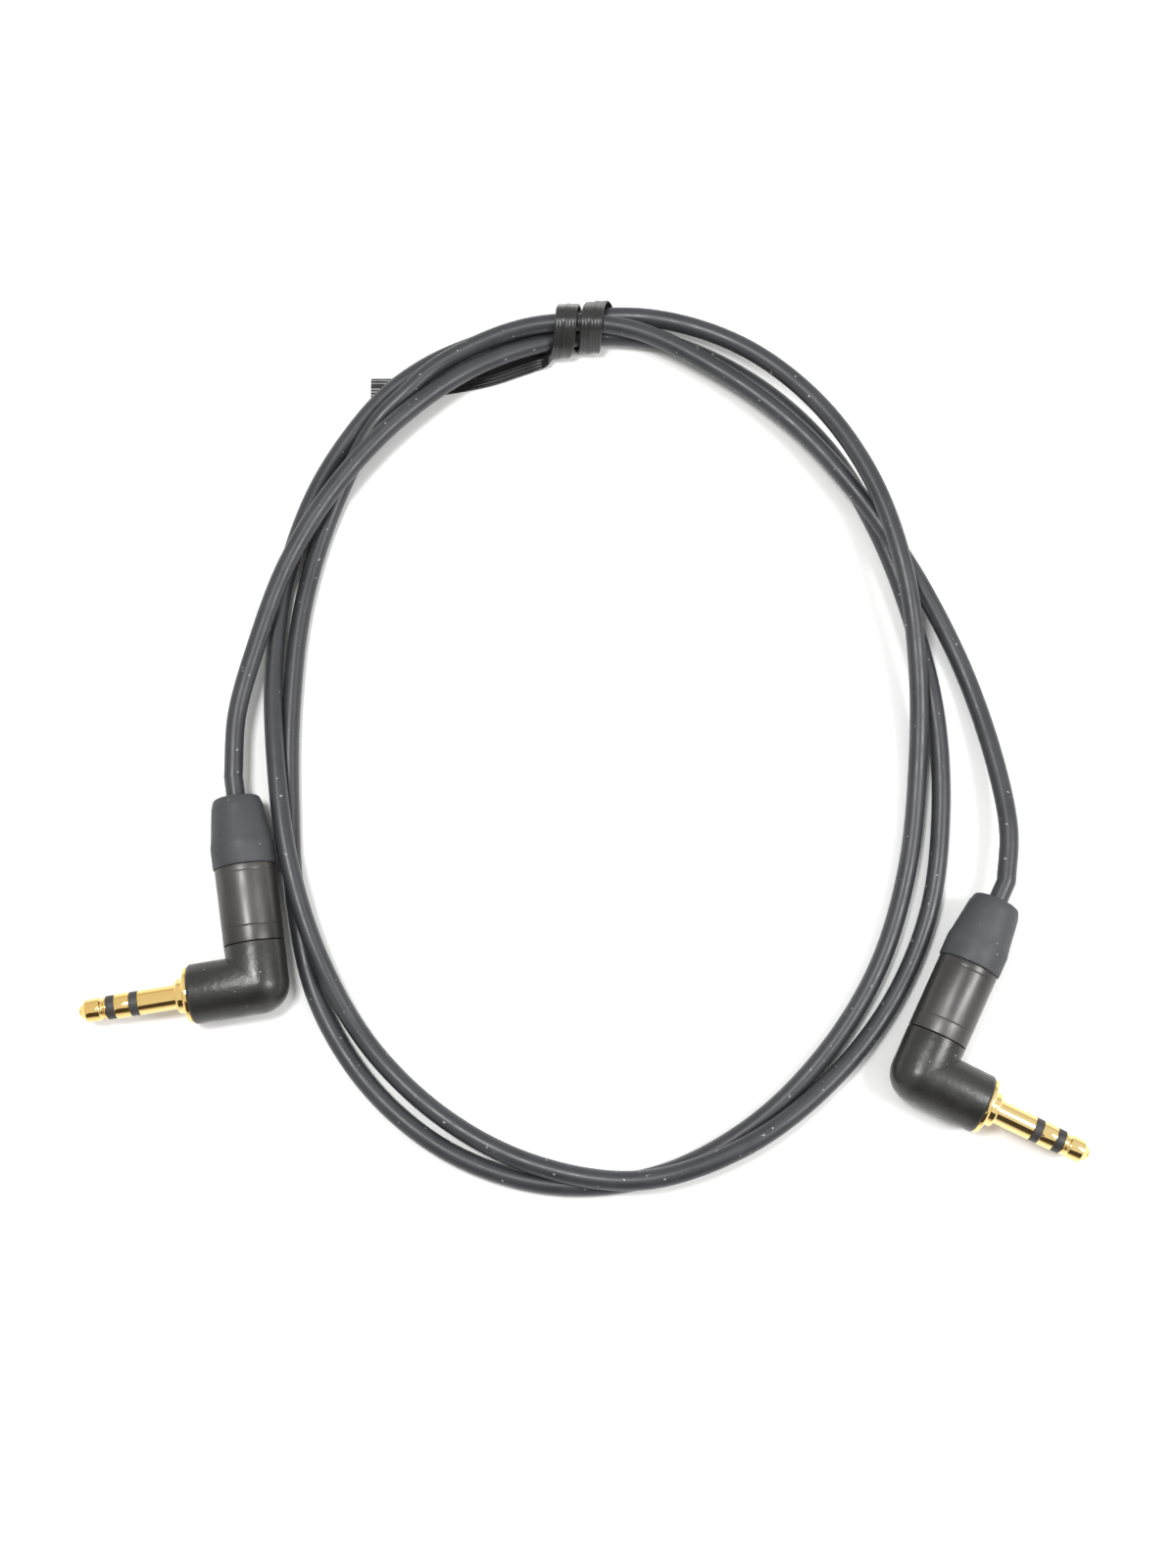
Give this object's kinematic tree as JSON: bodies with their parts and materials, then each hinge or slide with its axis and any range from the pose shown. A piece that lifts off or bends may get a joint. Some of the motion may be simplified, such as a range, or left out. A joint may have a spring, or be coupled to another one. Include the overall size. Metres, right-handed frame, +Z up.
{
  "type": "instrument cable",
  "caption": "Slim patch cable with a right-angle three-pole jack plug at each end, coiled in loose turns and held by a twist tie.",
  "frame": {"origin": "middle of the plugs' and tie's footprint, on the plane that the coil lies on", "axes": "+X from the coil's left to its right, towards the second plug; +Y from the plugs towards the twist tie; +Z up, away from the resting plane"},
  "size_m": [0.1431, 0.135, 0.0091],
  "materials": {
    "black_metal": "satin black anodised metal, soft sheen",
    "gold_plate": "polished gold plating, light handling marks",
    "boot_rubber": "matte soft rubber, slightly polished at the rim",
    "cable_jacket": "soft semi-matte flexible jacket",
    "pole_insulation": "smooth dark plastic",
    "fibre_washer": "pressed brown fibre",
    "tinned_lug": "tinned sheet",
    "copper": "bare copper",
    "red_insulation": "smooth wire insulation",
    "white_insulation": "smooth wire insulation",
    "tie_plastic": "flat ribbon with a raised middle and fine lengthwise ribs",
    "tie_wire": "plain galvanised wire"
  },
  "bodies": {
    "root": {"a_elbow_housing": "black_metal", "a_sleeve_contact": "gold_plate", "a_ring_insulator": "pole_insulation", "a_ring_contact": "gold_plate", "a_tip_insulator": "pole_insulation", "a_tip_contact": "gold_plate", "a_ring_washer": "fibre_washer", "a_tip_washer": "fibre_washer", "a_tip_lug": "tinned_lug", "a_ring_lug": "tinned_lug", "a_ground_lug": "tinned_lug", "a_crimp_ferrule": "copper", "a_tip_conductor": "red_insulation", "a_ring_conductor": "white_insulation", "a_shield_pigtail": "copper", "b_elbow_housing": "black_metal", "b_sleeve_contact": "gold_plate", "b_ring_insulator": "pole_insulation", "b_ring_contact": "gold_plate", "b_tip_insulator": "pole_insulation", "b_tip_contact": "gold_plate", "b_ring_washer": "fibre_washer", "b_tip_washer": "fibre_washer", "b_tip_lug": "tinned_lug", "b_ring_lug": "tinned_lug", "b_ground_lug": "tinned_lug", "b_crimp_ferrule": "copper", "b_tip_conductor": "red_insulation", "b_ring_conductor": "white_insulation", "b_shield_pigtail": "copper", "cable_jacket": "cable_jacket", "tie_sleeve": "tie_plastic", "tie_wire": "tie_wire"},
    "a_boot": {"a_rubber_boot": "boot_rubber"},
    "a_barrel": {"a_threaded_barrel": "black_metal"},
    "b_boot": {"b_rubber_boot": "boot_rubber"},
    "b_barrel": {"b_threaded_barrel": "black_metal"}
  },
  "joints": [
    {"name": "a_unscrew_travel", "type": "slide", "parent": "root", "child": "a_boot", "axis": [-0.1564, 0.9877, 0], "range_m": [0, 0.0025]},
    {"name": "a_barrel_turn", "type": "hinge", "parent": "a_boot", "child": "a_barrel", "pos_m": [-0.04857, -0.024, 0.00455], "axis": [-0.1564, 0.9877, 0], "range_deg": [0, 1800]},
    {"name": "b_unscrew_travel", "type": "slide", "parent": "root", "child": "b_boot", "axis": [0.4352, 0.9003, 0], "range_m": [0, 0.0025]},
    {"name": "b_barrel_turn", "type": "hinge", "parent": "b_boot", "child": "b_barrel", "pos_m": [0.05524, -0.03823, 0.00455], "axis": [0.4352, 0.9003, 0], "range_deg": [0, 1800]}
  ],
  "couplings": [
    {"joint": "a_barrel_turn", "follows": "a_unscrew_travel", "rad_per_m": 12566},
    {"joint": "b_barrel_turn", "follows": "b_unscrew_travel", "rad_per_m": 12566}
  ]
}
